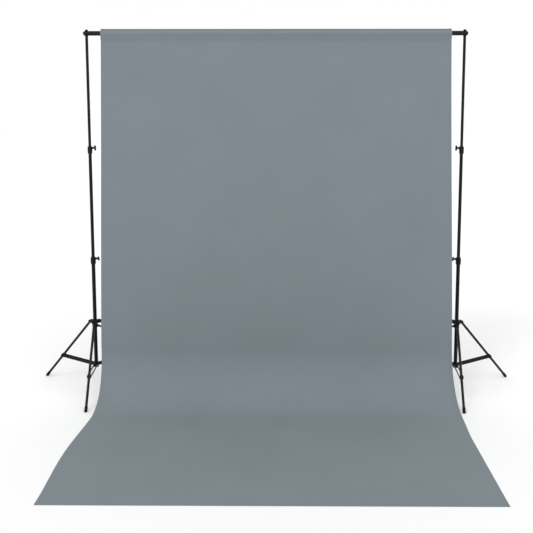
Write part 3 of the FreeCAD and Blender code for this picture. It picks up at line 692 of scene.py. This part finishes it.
def weave_height(tree, uv):
    """The relief of a plain weave, from 0 to 1: warp and weft threads that take turns on top."""
    parts = tree.nodes.new("ShaderNodeSeparateXYZ")
    tree.links.new(uv, parts.inputs["Vector"])
    warp = calculate(tree, "SINE", calculate(tree, "MULTIPLY", parts.outputs["X"], pi / YARN))
    weft = calculate(tree, "SINE", calculate(tree, "MULTIPLY", parts.outputs["Y"], pi / YARN))
    round_warp = calculate(tree, "ABSOLUTE", warp)
    round_weft = calculate(tree, "ABSOLUTE", weft)
    warp_over = calculate(tree, "MULTIPLY", round_warp, calculate(tree, "POWER", round_weft, 0.3))
    weft_over = calculate(tree, "MULTIPLY", round_weft, calculate(tree, "POWER", round_warp, 0.3))
    which = calculate(tree, "GREATER_THAN", calculate(tree, "MULTIPLY", warp, weft), 0.0)
    swap = calculate(tree, "MULTIPLY", calculate(tree, "SUBTRACT", warp_over, weft_over), which)
    return calculate(tree, "ADD", weft_over, swap)


def woven_cloth():
    """Plain-woven muslin: warp and weft over and under each other, slubby yarns and a soft sheen."""
    material, tree, shader = start_material("woven_cloth", specular=0.15)
    uv_map = tree.nodes.new("ShaderNodeUVMap")
    uv_map.uv_map = "cut"
    uv = uv_map.outputs["UV"]
    slub_x = noise(tree, stretched(tree, uv, 1, 0.04, 1), 500, 2)
    slub_y = noise(tree, stretched(tree, uv, 0.04, 1, 1), 500, 2)
    slubs = calculate(tree, "ADD", slub_x, slub_y)
    height = calculate(tree, "ADD", weave_height(tree, uv), calculate(tree, "MULTIPLY", slubs, 1.2))
    mottle = calculate(tree, "MULTIPLY", noise(tree, uv, 2.2, 4, 0.55), 0.5)
    tone = calculate(tree, "ADD", calculate(tree, "MULTIPLY", slubs, 0.25), mottle)
    feed_shader(
        tree, shader,
        colour=ramp(tree, tone, two_tone(CLOTH_GREY, 0.05)),
        roughness=spread_value(tree, slub_x, 0.84, 0.95),
        normal=bump(tree, height, 0.22 * MM, 0.8))
    shader.inputs["Sheen Weight"].default_value = 0.04
    shader.inputs["Sheen Roughness"].default_value = 0.5
    return material


def thread():
    """Grey sewing thread, a shade darker than the cloth, with its twist."""
    material, tree, shader = start_material("thread", specular=0.2)
    twist = noise(tree, object_place(tree), 2500, 1)
    darker = tuple(c * THREAD_SHADE for c in CLOTH_GREY)
    feed_shader(
        tree, shader,
        colour=ramp(tree, twist, two_tone(darker, 0.15)),
        roughness=0.8,
        normal=bump(tree, twist, 0.08 * MM, 0.5))
    return material


def floor_paint():
    """Matte white studio floor."""
    material, tree, shader = start_material("floor_paint", specular=0.05)
    shader.inputs["Base Color"].default_value = (0.88, 0.88, 0.88, 1)
    shader.inputs["Roughness"].default_value = 0.9
    return material


MATERIALS = {
    "black_tube": tube_paint(),
    "black_casting": casting(),
    "black_knob": knob_plastic(),
    "rubber": rubber(),
    "black_steel": black_steel(),
    "glide_plastic": glide_nylon(),
    "black_strip": strip_paint(),
}

for obj in nodes.values():
    for slot in obj.material_slots:
        if slot.material.name in MATERIALS:
            slot.material = MATERIALS[slot.material.name]


# ---------------------------------------------------------------- soft edges on the moulded parts

SOFT_EDGE = 0.5 * MM
SHARP_ANGLE = radians(32)
MOULDED = ["crown", "hub", "upper_collar", "lower_collar"]
MOULDED += ["upper_knob", "lower_knob", "crown_knob", "thumb_nut"]
MOULDED += [f"{place}_bracket" for place in LEG_PLACES]


def soften(name):
    """Round the sharp edges of a CAD node a little."""
    edges = nodes[name].modifiers.new("soft_edges", "BEVEL")
    edges.width = SOFT_EDGE
    edges.segments = 2
    edges.limit_method = "ANGLE"
    edges.angle_limit = SHARP_ANGLE
    edges.use_clamp_overlap = True
    edges.harden_normals = True


for side in SIDES:
    for part in MOULDED:
        soften(f"{side}_{part}")


# ---------------------------------------------------------------- assembly

profile = Profile()
cloth = make_cloth(profile)
cloth.data.materials.append(woven_cloth())
stitching = make_stitching(profile)
stitching.data.materials.append(thread())
for piece in (cloth, stitching):
    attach(piece, "crossbar")
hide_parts("backdrop")
cut_width = 2 * cloth_columns()[-1][2]


# ---------------------------------------------------------------- studio

FLOOR_HALF = 60
# The floor lies this far under the object, so that the two don't share a plane.
FLOOR_GAP = 0.2 * MM
WORLD_WHITE = (1, 1, 1, 1)

corners = [(x * FLOOR_HALF, y * FLOOR_HALF, -FLOOR_GAP) for x, y in ((-1, -1), (1, -1), (1, 1), (-1, 1))]
floor = new_object("studio_floor", corners, [(0, 1, 2, 3)], smooth_shading=False)
floor.data.materials.append(floor_paint())

world = bpy.data.worlds.new("studio")
bpy.context.scene.world = world
world.use_nodes = True
world.node_tree.nodes["Background"].inputs["Color"].default_value = WORLD_WHITE
world.node_tree.nodes["Background"].inputs["Strength"].default_value = 1.0


def add_sun(name, strength, azimuth, elevation, spread_angle):
    """A very soft light from a direction: azimuth 0 is in front and 90 on the right."""
    light = bpy.data.lights.new(name, "SUN")
    light.energy = strength
    light.angle = radians(spread_angle)
    lamp = bpy.data.objects.new(name, light)
    lamp.rotation_euler = Euler((radians(90 - elevation), 0, radians(azimuth)), "XYZ")
    bpy.context.scene.collection.objects.link(lamp)


add_sun("key_light", strength=0.42, azimuth=-38, elevation=46, spread_angle=14)
add_sun("fill_light", strength=0.42, azimuth=24, elevation=50, spread_angle=60)
bpy.context.scene.view_settings.view_transform = "Standard"


# ---------------------------------------------------------------- camera

LENS = 48.594
SHIFT_X = -0.02503
SHIFT_Y = -0.14421
CAMERA_X = 0.07597
CAMERA_HEIGHT = 2.27302
CAMERA_TO_BAR = 5.69963
# How far the camera looks down, and is turned to the left, in radians.
LOOK_DOWN = 0.1132
TURN_LEFT = 0.00712

camera_data = bpy.data.cameras.new("camera")
camera_data.lens = LENS
camera_data.shift_x = SHIFT_X
camera_data.shift_y = SHIFT_Y
camera_data.clip_end = 200
camera = bpy.data.objects.new("camera", camera_data)
camera.location = (CAMERA_X, BAR_Y - CAMERA_TO_BAR, CAMERA_HEIGHT)
camera.rotation_euler = (pi / 2 - LOOK_DOWN, 0, TURN_LEFT)
bpy.context.scene.collection.objects.link(camera)
bpy.context.scene.camera = camera
